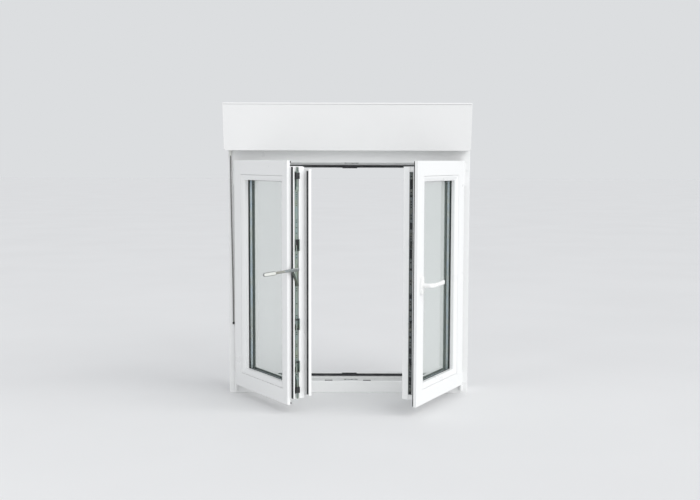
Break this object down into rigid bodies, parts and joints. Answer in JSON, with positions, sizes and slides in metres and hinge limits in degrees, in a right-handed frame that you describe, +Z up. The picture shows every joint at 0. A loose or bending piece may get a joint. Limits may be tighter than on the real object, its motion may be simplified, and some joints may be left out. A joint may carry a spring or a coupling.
{
  "type": "two-leaf casement window with roller shutter",
  "caption": "White casement window with leaves that open inwards, a roller-shutter box above, a lever handle, a fold-out bolt lever and a hanging motor lead.",
  "frame": {"origin": "middle of the sill's bottom face", "axes": "+X to the right seen from the room, +Y from the room to the outside, +Z up"},
  "size_m": [1.007, 0.6028, 1.205],
  "materials": {
    "frame_white": "smooth window profile, satin gloss",
    "sash_white": "smooth window profile, satin gloss",
    "box_white": "smooth panel, satin gloss",
    "gasket": "matte extruded gasket",
    "dark_fitting": "moulded, matte",
    "zinc_steel": "zinc plated, satin",
    "hinge_white": "powder coated white",
    "handle_white": "powder coated white, smooth",
    "grip": "moulded grip, satin",
    "glass": "clear float glass",
    "spacer": "matte folded spacer",
    "motor_case": "painted tube, satin",
    "tube_steel": "galvanised, dull",
    "slat": "ribbed slat, matte",
    "bar": "coated extrusion, satin",
    "brush": "pile brush strip",
    "lead": "smooth cable sheath",
    "lead_end": "moulded insulating cap"
  },
  "bodies": {
    "frame": {"frame_sill": "frame_white", "frame_head": "frame_white", "frame_jambs": "frame_white", "frame_gasket": "gasket", "centre_seal_blocks": "dark_fitting", "centre_keepers": "zinc_steel", "hinge_bearings": "hinge_white", "hinge_pins": "zinc_steel", "box_end_caps": "box_white", "box_front": "box_white", "box_top": "box_white", "box_bottom": "box_white", "box_back": "box_white", "tube_brackets": "dark_fitting", "tubular_motor": "motor_case", "shutter_guides": "frame_white", "guide_brushes": "brush", "lead_gland": "grip", "motor_lead": "lead", "lead_end_cap": "lead_end", "shutter_curtain": "slat"},
    "roller": {"roller_tube": "tube_steel", "curtain_roll": "slat"},
    "shutter_bar": {"shutter_bottom_bar": "bar"},
    "left_sash": {"left_bottom_rail": "sash_white", "left_top_rail": "sash_white", "left_hinge_stile": "sash_white", "left_lock_stile": "sash_white", "left_glazing_beads": "sash_white", "left_glass_panes": "glass", "left_spacer": "spacer", "left_seals": "gasket", "left_hinge_arms": "hinge_white", "astragal": "sash_white", "astragal_seal": "gasket", "astragal_end_caps": "sash_white", "passive_faceplate": "zinc_steel", "lock_strikers": "zinc_steel", "bolt_guides": "dark_fitting", "lever_gearbox": "zinc_steel"},
    "bolt_lever": {"shoot_bolt_lever": "zinc_steel", "lever_grip": "grip"},
    "lever_link": {"lever_link": "zinc_steel"},
    "top_bolt": {"shoot_bolt_top": "zinc_steel"},
    "bottom_bolt": {"shoot_bolt_bottom": "zinc_steel"},
    "right_sash": {"right_bottom_rail": "sash_white", "right_top_rail": "sash_white", "right_hinge_stile": "sash_white", "right_lock_stile": "sash_white", "right_glazing_beads": "sash_white", "right_glass_panes": "glass", "right_spacer": "spacer", "right_seals": "gasket", "right_hinge_arms": "hinge_white", "active_faceplate": "zinc_steel", "handle_gearbox": "zinc_steel", "handle_rosette": "handle_white"},
    "cam_bar": {"cam_bar": "zinc_steel"},
    "handle": {"handle_lever": "handle_white", "handle_spindle": "zinc_steel"}
  },
  "joints": [
    {"name": "left_sash_turn", "type": "hinge", "parent": "frame", "child": "left_sash", "pos_m": [-0.472, -0.048, 0.5075], "axis": [0, 0, -1], "range_deg": [-57.6, 32.4]},
    {"name": "right_sash_turn", "type": "hinge", "parent": "frame", "child": "right_sash", "pos_m": [0.472, -0.048, 0.5075], "axis": [0, 0, 1], "range_deg": [-62.4, 27.6]},
    {"name": "handle_turn", "type": "hinge", "parent": "right_sash", "child": "handle", "pos_m": [0.27377, -0.44877, 0.505], "axis": [0.8862, -0.4633, 0], "range_deg": [-90, 0]},
    {"name": "cam_slide", "type": "slide", "parent": "right_sash", "child": "cam_bar", "axis": [0, 0, 1], "range_m": [-0.018, 0]},
    {"name": "lever_turn", "type": "hinge", "parent": "left_sash", "child": "bolt_lever", "pos_m": [-0.19629, -0.43206, 0.562], "axis": [-0.5358, 0.8443, 0], "range_deg": [-80, 0]},
    {"name": "link_turn", "type": "hinge", "parent": "bolt_lever", "child": "lever_link", "pos_m": [-0.2148, -0.4438, 0.56008], "axis": [-0.5358, 0.8443, 0], "range_deg": [0, 99.1]},
    {"name": "top_bolt_slide", "type": "slide", "parent": "left_sash", "child": "top_bolt", "axis": [0, 0, 1], "range_m": [0, 0.024]},
    {"name": "bottom_bolt_slide", "type": "slide", "parent": "left_sash", "child": "bottom_bolt", "axis": [0, 0, 1], "range_m": [-0.024, 0]},
    {"name": "shutter_travel", "type": "slide", "parent": "frame", "child": "shutter_bar", "axis": [0, 0, 1], "range_m": [-0.958, 0], "deforming": ["shutter_curtain"]},
    {"name": "roller_turn", "type": "hinge", "parent": "frame", "child": "roller", "pos_m": [0, -0.014, 1.11], "axis": [1, 0, 0], "range_deg": [-765, 0]}
  ],
  "couplings": [
    {"joint": "cam_slide", "follows": "handle_turn", "m_per_rad": 0.011459},
    {"joint": "link_turn", "follows": "lever_turn", "ratio": -1.2363},
    {"joint": "top_bolt_slide", "follows": "lever_turn", "m_per_rad": -0.017189},
    {"joint": "bottom_bolt_slide", "follows": "lever_turn", "m_per_rad": 0.017189},
    {"joint": "roller_turn", "follows": "shutter_travel", "rad_per_m": 13.889}
  ]
}
